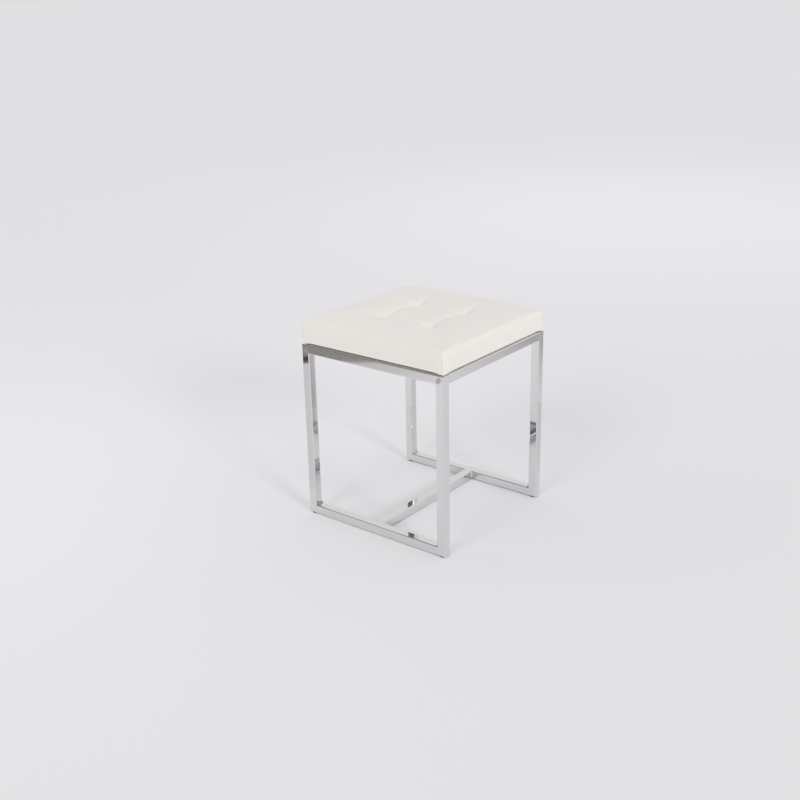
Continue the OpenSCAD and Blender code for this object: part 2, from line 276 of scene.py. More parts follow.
@dataclass(frozen=True)
class ZincPlate(Finish):
    """Blue-passivated zinc on cold-formed fasteners: grey metal with a cloudy, slightly blue shine."""

    cloud_mm: float = 2.5

    def draw(self, tree: Tree, shader: bpy.types.Node, place: Socket) -> None:
        """Draws the finish."""
        shader.inputs["Metallic"].default_value = 1.0
        clouds = noise_at(tree, place, self.cloud_mm)
        paint(tree, shader, clouds, "8E9299", "C4C7CB")
        polish(tree, shader, clouds, self.roughness * 0.8, self.roughness * 1.3)
        relief(tree, shader, [(noise_at(tree, place, 0.6), 0.02, 0.5)])


@dataclass(frozen=True)
class MouldedNylon(Finish):
    """Injection-moulded nylon with a spark-eroded mould face: matt black with a fine even texture."""

    def draw(self, tree: Tree, shader: bpy.types.Node, place: Socket) -> None:
        """Draws the finish."""
        shader.inputs["IOR"].default_value = 1.53
        scuffs = noise_at(tree, place, 3.0)
        paint(tree, shader, scuffs, "0C0C0D", "1B1B1D")
        relief(tree, shader, [(noise_at(tree, place, 0.5, Detail=2.0), 0.04, 0.6)])


@dataclass(frozen=True)
class Plywood(Finish):
    """Sanded birch plywood: pale face veneer with long grain, and thin plies at the edges."""

    ply_mm: float = 1.5

    def draw(self, tree: Tree, shader: bpy.types.Node, place: Socket) -> None:
        """Draws the finish."""
        long_grain = add_node(tree, "ShaderNodeMapping", {"Scale": (0.06, 1.0, 1.0)}, {"Vector": place})
        grain = noise_at(tree, long_grain.outputs[0], 2.0, Detail=8.0)
        face = tint(tree, grain, "B98F5C", "E2C596")
        height = add_node(tree, "ShaderNodeSeparateXYZ", links={0: place}).outputs["Z"]
        share = height
        for operation in ("PINGPONG", "DIVIDE"):
            settings = {"operation": operation, 1: self.ply_mm * MM}
            share = add_node(tree, "ShaderNodeMath", settings, {0: share}).outputs[0]
        edge = tint(tree, share, "7E5530", "D9B684")
        normal = add_node(tree, "ShaderNodeNewGeometry").outputs["Normal"]
        up = add_node(tree, "ShaderNodeSeparateXYZ", links={0: normal}).outputs["Z"]
        flat = add_node(tree, "ShaderNodeMath", {"operation": "ABSOLUTE"}, {0: up})
        mix = add_node(tree, "ShaderNodeMix", {"data_type": "RGBA"}, {0: flat.outputs[0], 6: edge, 7: face})
        tree.links.new(mix.outputs[2], shader.inputs["Base Color"])
        relief(tree, shader, [(grain, 0.1, 0.4)])


@dataclass(frozen=True)
class OpenCellFoam(Finish):
    """Cut block of flexible polyurethane foam: cream, full of half-millimetre cells, with painted shade in
    their hollows.
    """

    cell_mm: float = 0.9

    def draw(self, tree: Tree, shader: bpy.types.Node, place: Socket) -> None:
        """Draws the finish."""
        settings = {"Scale": 1 / (self.cell_mm * MM), "Randomness": 1.0}
        cells = add_node(tree, "ShaderNodeTexVoronoi", settings, {"Vector": place}).outputs["Distance"]
        # Painted shade: darker in the hollows of the cells.
        paint(tree, shader, cells, "B9A772", "EFE2B0")
        relief(tree, shader, [(cells, 0.6, 0.8)])


@dataclass(frozen=True)
class FibreWadding(Finish):
    """Carded polyester wadding: white, matt, a tangle of crimped fibres."""

    fibre_mm: float = 1.2

    def draw(self, tree: Tree, shader: bpy.types.Node, place: Socket) -> None:
        """Draws the finish."""
        fibres = noise_at(tree, place, self.fibre_mm, Detail=8.0, Distortion=2.5)
        paint(tree, shader, fibres, "CFCDC8", "F7F6F2")
        shader.inputs["Sheen Weight"].default_value = 0.4
        relief(tree, shader, [(fibres, 0.8, 0.7)])


@dataclass(frozen=True)
class Leatherette(Finish):
    """PVC-coated upholstery cloth, calender-embossed: off-white, satin, with a fine pebbled grain.

    It carries a painted yellowish highlight along the top edges and painted grey shade in the sewn upright
    seams.
    """

    pebble_mm: float = 1.5
    hand_mm: float = 70.0
    # Painted marks: a yellowish highlight along the top edge and grey shade in the upright seams.
    lines: tuple[tuple[str, str, float], ...] = (
        ("painted_edge_highlight", "F6EBD2", 0.55),
        ("painted_seam_shade", "8F857A", 0.22),
    )

    def draw(self, tree: Tree, shader: bpy.types.Node, place: Socket) -> None:
        """Draws the finish."""
        shader.inputs["IOR"].default_value = 1.46
        handling = noise_at(tree, place, self.hand_mm, Detail=3.0)
        colour = tint(tree, handling, "EDE6DB", "F3EDE3")
        # Mixes in the painted shade and the painted highlight, each along its line.
        for line, shade, share in self.lines:
            along = add_node(tree, "ShaderNodeAttribute", {"attribute_name": line}).outputs["Fac"]
            settings = {"operation": "MULTIPLY", 1: share}
            weight = add_node(tree, "ShaderNodeMath", settings, {0: along}).outputs[0]
            settings = {"data_type": "RGBA", 7: linear(shade)}
            colour = add_node(tree, "ShaderNodeMix", settings, {0: weight, 6: colour}).outputs[2]
        tree.links.new(colour, shader.inputs["Base Color"])
        polish(tree, shader, handling, self.roughness * 0.85, self.roughness * 1.2)
        stir = add_node(tree, "ShaderNodeTexNoise", {"Scale": 900.0}, {"Vector": place}).outputs["Color"]
        settings = {"data_type": "VECTOR", 0: 0.0006}
        warped = add_node(tree, "ShaderNodeMix", settings, {4: place, 5: stir}).outputs[1]
        settings = {"Scale": 1 / (self.pebble_mm * MM), "feature": "SMOOTH_F1", "Smoothness": 0.35}
        pebbles = add_node(tree, "ShaderNodeTexVoronoi", settings, {"Vector": warped}).outputs["Distance"]
        pores = noise_at(tree, place, 0.5, Detail=2.0)
        relief(tree, shader, [(pebbles, 0.12, 0.35), (pores, 0.03, 0.3)])


@dataclass(frozen=True)
class WaxedTwine(Finish):
    """Twisted and waxed nylon tufting twine: cream, with a fine slanting lay and painted shade between its
    strands.
    """

    lay_mm: float = 1.4
    slant_degrees: float = 35.0

    def draw(self, tree: Tree, shader: bpy.types.Node, place: Socket) -> None:
        """Draws the finish."""
        slant = {"Rotation": (0.0, math.radians(self.slant_degrees), 0.0)}
        turned = add_node(tree, "ShaderNodeMapping", slant, {"Vector": place})
        settings = {"Scale": math.tau / 20 / (self.lay_mm * MM), "bands_direction": "Z"}
        strands = add_node(tree, "ShaderNodeTexWave", settings, {"Vector": turned.outputs[0]}).outputs["Fac"]
        # Painted shade: darker in the grooves between the strands.
        paint(tree, shader, strands, "B3A789", "E6DEC8")
        relief(tree, shader, [(strands, 0.3, 0.8)])


@dataclass(frozen=True)
class PressedFibre(Finish):
    """Vulcanised fibre discs, punched from sheet: dark brown with flecks."""

    fleck_mm: float = 1.0

    def draw(self, tree: Tree, shader: bpy.types.Node, place: Socket) -> None:
        """Draws the finish."""
        flecks = noise_at(tree, place, self.fleck_mm, Detail=6.0)
        paint(tree, shader, flecks, "3A2417", "6B4A33")
        relief(tree, shader, [(flecks, 0.08, 0.5)])


@dataclass(frozen=True)
class SpunbondCloth(Finish):
    """Black spunbond polypropylene: matt fibres, pressed flat in a grid of small bonding points."""

    bond_mm: float = 1.6
    fibre_mm: float = 1.0

    def draw(self, tree: Tree, shader: bpy.types.Node, place: Socket) -> None:
        """Draws the finish."""
        fibres = noise_at(tree, place, self.fibre_mm, Detail=8.0, Distortion=3.0)
        paint(tree, shader, fibres, "0B0B0C", "26262A")
        settings = {"Scale": 1 / (self.bond_mm * MM), "Randomness": 0.0}
        bonds = add_node(tree, "ShaderNodeTexVoronoi", settings, {"Vector": place}).outputs["Distance"]
        shader.inputs["Sheen Weight"].default_value = 0.25
        relief(tree, shader, [(bonds, 0.15, 0.5), (fibres, 0.1, 0.5)])


FINISHES = {
    Slot.CHROME: ChromePlate("bright_chrome_plate", "D3D4D4", 0.05),
    Slot.ZINC: ZincPlate("blue_zinc_plate", "AAADB2", 0.34),
    Slot.NYLON: MouldedNylon("moulded_black_nylon", "121213", 0.55),
    Slot.PLYWOOD: Plywood("sanded_birch_plywood", "D6B583", 0.62),
    Slot.FOAM: OpenCellFoam("open_cell_foam", "E3D49C", 0.95),
    Slot.WADDING: FibreWadding("polyester_wadding", "EFEEEA", 0.95),
    Slot.LEATHERETTE: Leatherette("embossed_leatherette", "F0EADF", 0.46),
    Slot.TWINE: WaxedTwine("waxed_twine", "D8CFB4", 0.6),
    Slot.FIBREBOARD: PressedFibre("pressed_fibre", "523625", 0.8),
    Slot.DUST_CLOTH: SpunbondCloth("black_spunbond_cloth", "161618", 0.85),
}


@dataclass(frozen=True)
class ThreadedZinc(ZincPlate):
    """Zinc-plated shank with a rolled thread, drawn as a spiral of bumps at the thread's pitch, with painted
    shade in its grooves.
    """

    pitch_mm: float = 1.0

    def draw(self, tree: Tree, shader: bpy.types.Node, place: Socket) -> None:
        """Draws the finish."""
        shader.inputs["Metallic"].default_value = 1.0
        settings = {"Scale": math.tau / 20 / (self.pitch_mm * MM), "bands_direction": "Z"}
        thread = add_node(tree, "ShaderNodeTexWave", settings, {"Vector": place}).outputs["Fac"]
        # Painted shade: darker in the thread's grooves.
        paint(tree, shader, thread, "70747B", "C4C7CB")
        relief(tree, shader, [(thread, 0.5, 0.9)])


@dataclass(frozen=True)
class Crease:
    """A soft valley that a tuft pulls into the cover, seen in plan as a curve through three points."""

    start: Plan
    bend: Plan
    end: Plan
    depths: tuple[float, float]
    half_width: float = 7.0
    wall_power: float = 1.5
    points: int = 49

    def depth_at(self, plan: np.ndarray) -> np.ndarray:
        """Depth of the valley.

        Args:
            plan: points in plan, in mm.

        Returns:
            How far the cover lies below its smooth shape at each point, in mm.
        """
        shares = np.linspace(0.0, 1.0, self.points)[:, None]
        start, bend, end = (np.array(point) for point in (self.start, self.bend, self.end))
        route = (1 - shares) ** 2 * start + 2 * shares * (1 - shares) * bend + shares**2 * end
        gaps = np.linalg.norm(plan[:, None, :] - route[None, :, :], axis=2)
        nearest = gaps.argmin(axis=1)
        fall = nearest / (len(route) - 1)
        fall = fall * fall * (3 - 2 * fall)
        depth = self.depths[0] + (self.depths[1] - self.depths[0]) * fall
        return depth * np.exp(-((gaps.min(axis=1) / self.half_width) ** self.wall_power))


@dataclass(frozen=True)
class Tuft:
    """A blind tuft: the twine below draws the cover down to a point, with no button."""

    place: Plan
    height: float = 448.8
    hollow_radius: float = 15.0
    hollow_power: float = 1.4
    pinch_radius: float = 6.0
    pinch_power: float = 1.3
    pinch_share: float = 0.6

    def pull_at(self, plan: np.ndarray, radius: float, power: float) -> np.ndarray:
        """Share of the way down to the tuft's point.

        Args:
            plan: points in plan, in mm.
            radius: distance over which the pull fades, in mm.
            power: how sharply it fades.

        Returns:
            One at the tuft, falling to zero away from it.
        """
        gaps = np.linalg.norm(plan - np.array(self.place), axis=1)
        return np.exp(-((gaps / radius) ** power))


TUFTS = (
    Tuft((-66.0, -58.0)),
    Tuft((-62.0, 56.0)),
    Tuft((63.0, 52.0)),
    Tuft((60.0, -60.0)),
)

CREASES = (
    Crease((-66, -58), (-60, -20), (-72, 14), (5.0, 2.6)),
    Crease((-62, 56), (-62, 36), (-72, 14), (5.0, 2.6)),
    Crease((-62, 56), (-60, 96), (-78, 158), (5.0, 0.6)),
    Crease((-66, -58), (-76, -92), (-92, -130), (3.6, 0.0)),
    Crease((60, -60), (60, -30), (56, 2), (5.0, 2.6)),
    Crease((63, 52), (66, 30), (56, 2), (5.0, 2.6)),
    Crease((63, 52), (72, 100), (50, 160), (5.0, 0.6)),
    Crease((60, -60), (62, -100), (46, -160), (3.6, 0.0)),
    Crease((-66, -58), (-96, -58), (-154, -26), (8.0, 0.0), 9.0),
    Crease((-62, 56), (-80, 50), (-118, 74), (8.0, 0.0), 9.0),
    Crease((63, 52), (45, 46), (8, 78), (8.0, 0.0), 9.0),
    Crease((60, -60), (42, -66), (0, -44), (8.0, 0.0), 9.0),
)


def from_object(source: bpy.types.Object, name: str) -> bpy.types.Mesh:
    """A new mesh of an object as its modifiers leave it."""
    graph = bpy.context.evaluated_depsgraph_get()
    mesh = bpy.data.meshes.new_from_object(source.evaluated_get(graph))
    mesh.name = name
    return mesh


def place_of(mesh: bpy.types.Mesh) -> np.ndarray:
    """Places of a mesh's vertices, in mm."""
    flat = np.zeros(len(mesh.vertices) * 3)
    mesh.vertices.foreach_get("co", flat)
    return flat.reshape(-1, 3) / MM


def set_place(mesh: bpy.types.Mesh, place: np.ndarray) -> None:
    """Moves a mesh's vertices to places given in mm."""
    mesh.vertices.foreach_set("co", (place * MM).ravel())
    mesh.update()


def shown(mesh: bpy.types.Mesh, slot: Slot, materials: Materials) -> bpy.types.Object:
    """Makes a piece of the seat and frame from a mesh in the shared frame.

    Args:
        mesh: its mesh, in metres, which gives it its name.
        slot: the record's material slot.
        materials: the finished materials.

    Returns:
        The piece, linked, riding on the frame and wearing its material.
    """
    piece = linked(mesh.name, mesh)
    mesh.materials.clear()
    mesh.materials.append(materials[slot])
    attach(piece, BODY)
    return piece


def mark_of(mesh: bpy.types.Mesh, name: str) -> np.ndarray:
    """Reads a mark that each vertex of a mesh carries."""
    mark = np.zeros(len(mesh.vertices))
    mesh.attributes[name].data.foreach_get("value", mark)
    return mark


@dataclass(frozen=True)
class Fullness:
    """How much fuller, or flatter, one corner of the pad is. Lengths are in mm."""

    side: int
    end: int
    lift: float
    reach: float


@dataclass(frozen=True)
class Sewing:
    """The sewn seams of the cover, the painted highlight and painted shade along them, and their slack side.

    Lengths are in mm.
    """

    depth: float = 1.1
    pucker: float = 0.35
    stitch_pair: float = 8.5
    half_width: float = 2.2
    shoulder_depth: float = 0.35
    shoulder: float = 7.0
    slack_share: float = 0.6
    slack_from: float = 40.0
    upright_place: float = 4.0
    upright_depth: float = 1.1
    upright_width: float = 2.3
    line_width: float = 1.8
    # Where the painted highlight along the top edge lies, and how blotchy it is.
    highlight_size: float = 95.0
    highlight_start: Place = (3.1, 0.4, 1.7)
    highlight_share: float = 0.75
    highlight_spread: float = 0.8
    highlight_place: float = 2.5
    highlight_width: float = 4.0

    def slack_at(self, place: np.ndarray) -> np.ndarray:
        """One along the right side of the pad, where the seam is slack, and zero from its corners on."""
        return np.clip((place[:, 0] - np.abs(place[:, 1])) / self.slack_from, 0, 1)

    def beside(self, from_corner: np.ndarray, around: np.ndarray) -> np.ndarray:
        """Distance of each point from the upright seam of its corner.

        Args:
            from_corner: distance of each point from its corner's middle.
            around: angle of each point about the pad's middle, in radians.

        Returns:
            The distance, signed to the one side and the other.
        """
        quarter = math.pi / 2
        past = around - quarter / 2
        past -= np.round(past / quarter) * quarter
        return np.sign(past) * from_corner + self.upright_place

    def seam_depth(self, from_seam: np.ndarray, along: np.ndarray) -> np.ndarray:
        """How deep the top seam and its puckers draw the cover in.

        Args:
            from_seam: distance of each point above the seam.
            along: distance of each point along it.

        Returns:
            The depth at each point.
        """
        pucker = 0.5 + 0.5 * np.sin(along * math.tau / self.stitch_pair)
        groove = (self.depth + self.pucker * pucker) * np.exp(-((from_seam / self.half_width) ** 2))
        return groove + self.shoulder_depth * np.exp(-np.abs(from_seam) / self.shoulder)

    def highlight_along_edge(self, place: np.ndarray, from_seam: np.ndarray) -> np.ndarray:
        """How strong the painted yellowish highlight along the top edge is, from 0 to 1."""
        start = Vector(self.highlight_start)
        blotches = np.array([noise.noise(Vector(point) / self.highlight_size + start) for point in place])
        near = np.exp(-(((from_seam - self.highlight_place) / self.highlight_width) ** 2))
        return np.clip(self.highlight_share + self.highlight_spread * blotches, 0, 1) * near


@dataclass
class SeatPad:
    """The foam pad in its sewn cover: a tufted top panel over four side panels, turned under the seat board.

    Sizes are in mm. The pad starts smaller than it ends, because the cloth swells it.
    """

    half: float = 191.7
    corner_radius: float = 8.5
    seam_height: float = 451.0
    under_height: float = 405.1
    roll_radius: float = 6.0
    under_radius: float = 2.6
    gap_height: float = 4.9
    neck_half: float = 180.4
    corner_fall: float = 2.8
    corner_hang: float = 3.6
    corner_reach: float = 17.0
    corner_pull_share: float = 0.002
    fullness: tuple[Fullness, ...] = (
        Fullness(-1, -1, 4.0, 95.0),
        Fullness(1, 1, -2.4, 70.0),
        Fullness(-1, 1, -2.4, 60.0),
    )
    crown: float = 1.6
    crown_power: float = 2.2
    cells: int = 120
    side_steps: int = 11
    bend_angles: tuple[int, ...] = (30, 60, 90)
    margin: float = 0.5
    hold_corner: float = 0.55
    hold_seam: float = 0.7
    hold_radius: float = 4.5
    pressure: float = 4.0
    swell_frames: int = 20
    swell_quality: int = 5
    swell_top: float = 3.2
    swell_side: float = 1.5
    top_from: float = 12.0
    side_from: float = -2.0
    nearly_most: float = 95.0
    most_side: float = 1.6
    most_more_on_top: float = 2.6
    blend: float = 16.0
    tuft_margin: float = 4.0
    pull_in: float = 1.9
    pull_fade: float = 30.0
    pull_power: int = 4
    top_height: float = 461.6
    lump_depth: float = 0.45
    lump_size: float = 42.0
    lump_fade: float = 6.0
    flap_half: float = 158.0
    flap_thickness: float = 1.1

    def panel_point(self, u: float, v: float) -> Vector:
        """Carries a point of the unit square onto the top panel.

        Args:
            u: place across, from -1 to 1.
            v: place along, from -1 to 1.

        Returns:
            The point in mm, on the roll at the edge or on the crowned middle.
        """
        ring = max(abs(u), abs(v))
        quarter = self.roll_radius * math.pi / 2
        travelled = (1 - ring) * (quarter + self.half - self.roll_radius)
        angle = min(travelled / self.roll_radius, math.pi / 2)
        inset = self.roll_radius * (1 - math.cos(angle)) + max(0.0, travelled - quarter)
        half = self.half - inset
        radius = max(self.corner_radius - inset, 0.01)
        straight = half - radius
        share = min(abs(u), abs(v)) / ring if ring else 0.0
        along = share * (straight + radius * math.pi / 4)
        turn = max(0.0, along - straight) / radius
        major = straight + radius * math.cos(turn)
        minor = min(along, straight) + radius * math.sin(turn)
        x, y = (major, minor) if abs(u) >= abs(v) else (minor, major)
        x = math.copysign(x, u)
        y = math.copysign(y, v)
        dome = (1 - abs(x / self.half) ** self.crown_power) * (1 - abs(y / self.half) ** self.crown_power)
        z = self.seam_height + self.roll_radius * math.sin(angle) + self.crown * dome
        return Vector((x, y, z))

    def drawn_in(self, point: Vector, inset: float) -> Vector:
        """Moves a point of the pad's outline inwards, square to the outline."""
        core = self.half - self.corner_radius
        centre = Vector((min(core, max(-core, point.x)), min(core, max(-core, point.y)), point.z))
        return point - (point - centre).normalized() * inset

    def soften_corners(self, bm: Mesh) -> None:
        """Lowers and draws in the corners, lets the cloth hang there, and fills them unevenly."""
        lowest = self.under_height + self.gap_height
        for vert in bm.verts:
            away = math.hypot(self.half - abs(vert.co.x), self.half - abs(vert.co.y))
            near = math.exp(-((away / self.corner_reach) ** 2))
            high = min(1.0, max(0.0, (vert.co.z - lowest) / (self.seam_height - lowest)))
            share = 1 - self.corner_pull_share * near * high**2
            hang = self.corner_hang * (1 - high) if vert.co.z > self.under_height + self.margin else 0.0
            vert.co.x *= share
            vert.co.y *= share
            vert.co.z -= near * (self.corner_fall * high**2 + hang)
            for corner in self.fullness:
                away = math.hypot(corner.side * self.half - vert.co.x, corner.end * self.half - vert.co.y)
                vert.co.z += corner.lift * high * math.exp(-((away / corner.reach) ** 2))

    def start_shape(self) -> Mesh:
        """The open cover before it swells: the top panel and the sides down to their lower bend."""
        bm = bmesh.new()
        bmesh.ops.create_grid(bm, x_segments=self.cells, y_segments=self.cells, size=1.0)
        from_seam, from_corner, around = (bm.verts.layers.float.new(name) for name in MARKS)
        for vert in bm.verts:
            u, v = vert.co.x, vert.co.y
            ring = max(abs(u), abs(v))
            share = min(abs(u), abs(v)) / ring if ring else 0.0
            vert[from_seam] = (1 - ring) * self.half
            vert[from_corner] = (1 - share) * self.half
            vert[around] = math.atan2(v, u)
            vert.co = self.panel_point(u, v)
        rim = open_edges(bm)
        drop = self.seam_height - self.under_height - self.gap_height - self.under_radius
        steps = [(drop / self.side_steps, 0.0)] * self.side_steps
        last_inset = 0.0
        last_drop = 0.0
        for angle in self.bend_angles:
            inset = self.under_radius * (1 - math.cos(math.radians(angle)))
            lower = self.under_radius * math.sin(math.radians(angle))
            steps.append((lower - last_drop, inset - last_inset))
            last_inset, last_drop = inset, lower
        for lower, inset in steps:
            for vert in new_verts(bmesh.ops.extrude_edge_only(bm, edges=rim)):
                moved = self.drawn_in(vert.co, inset) if inset else vert.co
                vert.co = Vector((moved.x, moved.y, vert.co.z - lower))
                vert[from_seam] -= lower + inset
            rim = open_edges(bm)
        lip_half = self.half - self.under_radius
        lip_middle = (lip_half + self.neck_half) / 2
        widths = (lip_half, lip_middle, self.neck_half, self.neck_half - self.margin)
        for wide, narrow, lower in zip(widths, widths[1:], (0.0, 0.0, self.gap_height)):
            share = narrow / wide
            for vert in new_verts(bmesh.ops.extrude_edge_only(bm, edges=rim)):
                vert[from_seam] -= lower + (1 - share) * self.half
                vert.co = Vector((vert.co.x * share, vert.co.y * share, vert.co.z - lower))
            rim = open_edges(bm)
        self.soften_corners(bm)
        bmesh.ops.recalc_face_normals(bm, faces=bm.faces)
        top = max(bm.faces, key=lambda face: face.calc_center_median().z)
        if top.normal.z < 0:
            bmesh.ops.reverse_faces(bm, faces=bm.faces)
        return bm

    def held(self, place: np.ndarray, from_seam: np.ndarray, from_corner: np.ndarray) -> np.ndarray:
        """How firmly each point is held while the cover swells, from 0 to 1."""
        weights = np.zeros(len(place))
        weights[(from_seam <= self.margin) & (from_corner < 1.0)] = self.hold_corner
        weights[np.abs(from_seam) < self.margin] = self.hold_seam
        weights[place[:, 2] < self.under_height + self.gap_height + self.under_radius + self.margin] = 1.0
        for tuft in TUFTS:
            near = np.linalg.norm(place[:, :2] - np.array(tuft.place), axis=1) < self.hold_radius
            weights[near & (from_seam > 0)] = 1.0
        return weights

    def swell(self, pad: bpy.types.Object, weights: np.ndarray) -> np.ndarray:
        """Blows the cover up like a cushion with the cloth simulation.

        Args:
            pad: the open cover.
            weights: how firmly each point is held.

        Returns:
            How far each point has moved, in mm.
        """
        before = place_of(pad.data)
        group = pad.vertex_groups.new(name="held")
        for level in np.unique(weights[weights > 0]):
            group.add([int(i) for i in np.nonzero(weights == level)[0]], float(level), "REPLACE")
        modifier = pad.modifiers.new("swell", "CLOTH")
        cloth = modifier.settings
        cloth.quality = self.swell_quality
        cloth.use_pressure = True
        cloth.uniform_pressure_force = self.pressure
        cloth.effector_weights.gravity = 0.0
        cloth.vertex_group_mass = group.name
        modifier.point_cache.frame_start = 1
        modifier.point_cache.frame_end = self.swell_frames
        for step in range(1, self.swell_frames + 1):
            bpy.context.scene.frame_set(step)
        graph = bpy.context.evaluated_depsgraph_get()
        after = place_of(pad.evaluated_get(graph).data)
        pad.modifiers.remove(modifier)
        pad.vertex_groups.clear()
        bpy.context.scene.frame_set(1)
        return after - before

    def settle(self, mesh: bpy.types.Mesh, moved: np.ndarray, from_seam: np.ndarray) -> None:
        """Keeps the form of the swelling and sets how far it stands out over the top and the sides.

        Args:
            mesh: the open cover as it was before it swelled.
            moved: how far the simulation moved each point, in mm.
            from_seam: distance of each point above the top seam, in mm.
        """
        length = np.linalg.norm(moved, axis=1)
        top = length[from_seam > self.top_from]
        side = length[from_seam < self.side_from]
        top_gain = self.swell_top / max(1.0, np.percentile(top, self.nearly_most))
        side_gain = self.swell_side / max(0.5, np.percentile(side, self.nearly_most))
        share = np.clip(from_seam / self.blend + 0.5, 0, 1)
        kept = moved * (side_gain + (top_gain - side_gain) * share)[:, None]
        cap = self.most_side + self.most_more_on_top * share
        reach = np.maximum(np.linalg.norm(kept, axis=1), 1e-6)
        kept *= np.minimum(1.0, cap / reach)[:, None]
        place = place_of(mesh) + kept
        above = np.clip((place[:, 2] - self.seam_height) / (place[:, 2].max() - self.seam_height), 0, 1)
        place[:, 2] += above * (self.top_height - place[:, 2].max())
        firm = np.clip((place[:, 2] - self.under_height) / self.gap_height - 1, 0, 1)
        firm *= np.clip(1 - from_seam / self.pull_fade, 0, 1)
        for across, along in ((0, 1), (1, 0)):
            face = np.abs(place[:, across]) >= np.abs(place[:, along])
            middle = 1 - np.clip(np.abs(place[:, along]) / self.half, 0, 1) ** self.pull_power
            place[:, across] -= np.sign(place[:, across]) * face * firm * self.pull_in * middle
        set_place(mesh, place)

    def press_tufts(self, place: np.ndarray, from_seam: np.ndarray) -> None:
        """Draws the tufts and their creases into the top.

        Args:
            place: the cover's points in mm, which this moves.
            from_seam: distance of each point above the top seam, in mm.
        """
        plan = place[:, :2]
        top = np.clip((from_seam - self.tuft_margin) / self.blend, 0, 1)
        hollow = np.zeros(len(place))
        pinch = np.zeros(len(place))
        for tuft in TUFTS:
            near = np.linalg.norm(plan - np.array(tuft.place), axis=1)
            level = place[(near + FAR * (top < 1)).argmin(), 2]
            wide = tuft.pull_at(plan, tuft.hollow_radius, tuft.hollow_power)
            tight = tuft.pull_at(plan, tuft.pinch_radius, tuft.pinch_power)
            share = (1 - tuft.pinch_share) * wide + tuft.pinch_share * tight
            hollow = np.maximum(hollow, (level - tuft.height) * share)
            pinch = np.maximum(pinch, tight)
        valley = np.zeros(len(place))
        for crease in CREASES:
            valley = np.maximum(valley, crease.depth_at(plan))
        place[:, 2] -= top * (hollow + valley * (1 - pinch))

    def carve(self, mesh: bpy.types.Mesh) -> None:
        """Draws the tufts, their creases and the sewn seams into the swollen cover."""
        place = place_of(mesh)
        from_seam, from_corner, around = (mark_of(mesh, name) for name in MARKS)
        self.press_tufts(place, from_seam)
        normals = np.zeros(len(place) * 3)
        mesh.vertex_normals.foreach_get("vector", normals)
        sewing = Sewing()
        slack = sewing.slack_at(place)
        beside = sewing.beside(from_corner, around)
        seam = sewing.seam_depth(from_seam, around * self.half) * (1 - sewing.slack_share * slack)
        upright = sewing.upright_depth * (from_seam < 0) * np.exp(-((beside / sewing.upright_width) ** 2))
        lumps = np.array([noise.noise(Vector(point) / self.lump_size) for point in place])
        # Painted marks: grey shade in the upright seam crevices, and a yellowish highlight along the top
        # edge.
        strengths = {
            "painted_seam_shade": (from_seam < -1) * np.exp(-((beside / sewing.line_width) ** 2)),
            "painted_edge_highlight": sewing.highlight_along_edge(place, from_seam) * (1 - sewing.slack_share * slack),
        }
        low = np.clip((place[:, 2] - self.under_height) / self.lump_fade, 0, 1)
        out = low * (self.lump_depth * lumps - np.maximum(seam, upright))
        place += normals.reshape(-1, 3) * out[:, None]
        set_place(mesh, place)
        for name, strength in strengths.items():
            mesh.attributes.new(name, "FLOAT", "POINT").data.foreach_set("value", strength)

    def close_under(self, mesh: bpy.types.Mesh) -> None:
        """Turns the cover under the board: a flat flap, its cut edge, and a face inside the board."""
        bm = bmesh.new()
        bm.from_mesh(mesh)
        rim = open_edges(bm)
        for edge in rim:
            for vert in edge.verts:
                vert.co.z = self.under_height * MM
        reach = max(vert.co.x for edge in rim for vert in edge.verts)
        flat = []
        for scale, rise in ((self.flap_half * MM / reach, 0.0), (1.0, self.flap_thickness * MM)):
            made = bmesh.ops.extrude_edge_only(bm, edges=rim)
            flat += [item for item in made["geom"] if isinstance(item, bmesh.types.BMFace)]
            bmesh.ops.scale(bm, vec=(scale, scale, 1.0), verts=new_verts(made))
            bmesh.ops.translate(bm, vec=(0.0, 0.0, rise), verts=new_verts(made))
            rim = open_edges(bm)
        flat += bmesh.ops.contextual_create(bm, geom=rim)["faces"]
        bmesh.ops.recalc_face_normals(bm, faces=bm.faces)
        for face in bm.faces:
            face.smooth = True
        for face in flat:
            face.smooth = False
        bm.to_mesh(mesh)
        bm.free()

    def build(self, materials: Materials) -> bpy.types.Object:
        """Makes the pad.

        Args:
            materials: the finished materials.

        Returns:
            The closed pad, riding on the frame.
        """
        mesh = mesh_from(self.start_shape(), "pad_start", MM)
        start = linked("pad_start", mesh)
        from_seam = mark_of(mesh, "from_seam")
        moved = self.swell(start, self.held(place_of(mesh), from_seam, mark_of(mesh, "from_corner")))
        self.settle(mesh, moved, from_seam)
        smoother = start.modifiers.new("smoother", "SUBSURF")
        smoother.levels = 1
        smoother.render_levels = 1
        final = from_object(start, "seat_pad")
        bpy.data.objects.remove(start)
        self.carve(final)
        self.close_under(final)
        pad = shown(final, Slot.LEATHERETTE, materials)
        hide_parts("cover_top", "wadding", "foam_block", *(f"boxing_{side}" for side in SIDES))
        return pad


